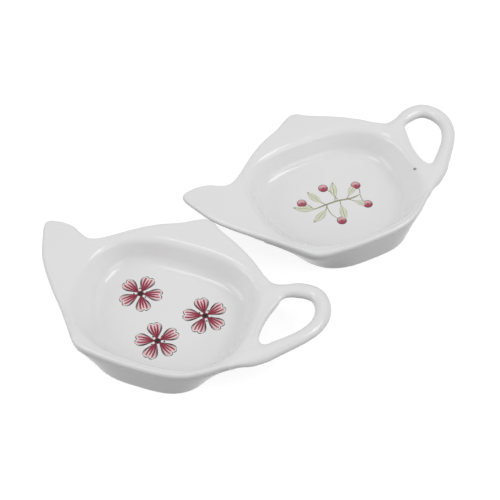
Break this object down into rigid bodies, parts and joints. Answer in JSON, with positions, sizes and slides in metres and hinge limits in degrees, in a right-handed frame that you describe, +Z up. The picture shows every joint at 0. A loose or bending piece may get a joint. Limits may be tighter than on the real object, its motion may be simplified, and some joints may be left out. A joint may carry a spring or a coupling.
{
  "type": "tea bag rest",
  "caption": "Pair of glazed porcelain tea bag rests shaped like teapots, each a shallow dish with a spout, lid knob and loop handle, with fired-on floral prints.",
  "frame": {"origin": "middle of the pair's box in plan, at the level of the two feet", "axes": "+Z up from the table, +X to the right along the pair from the front rest to the back one as the picture shows it, +Y away from the viewer"},
  "size_m": [0.1747, 0.1441, 0.0172],
  "materials": {
    "front_porcelain": "clear gloss glaze over white porcelain, bare clay on the foot ring",
    "back_porcelain": "clear gloss glaze over white porcelain, bare clay on the foot ring",
    "blossom_print": "fired-on crimson print, glossy",
    "leaf_print": "fired-on pale green print, glossy",
    "berry_print": "fired-on rose print, glossy"
  },
  "bodies": {
    "front": {"front_rest": "front_porcelain", "front_blossom_left": "blossom_print", "front_blossom_right": "blossom_print", "front_blossom_low": "blossom_print"},
    "back": {"back_rest": "back_porcelain", "back_sprig_leaves": "leaf_print", "back_sprig_berries": "berry_print"}
  },
  "joints": [
    {"name": "back_rest_lift", "type": "slide", "parent": "front", "child": "back", "axis": [0, 0, 1], "range_m": [0, 0.06]}
  ]
}
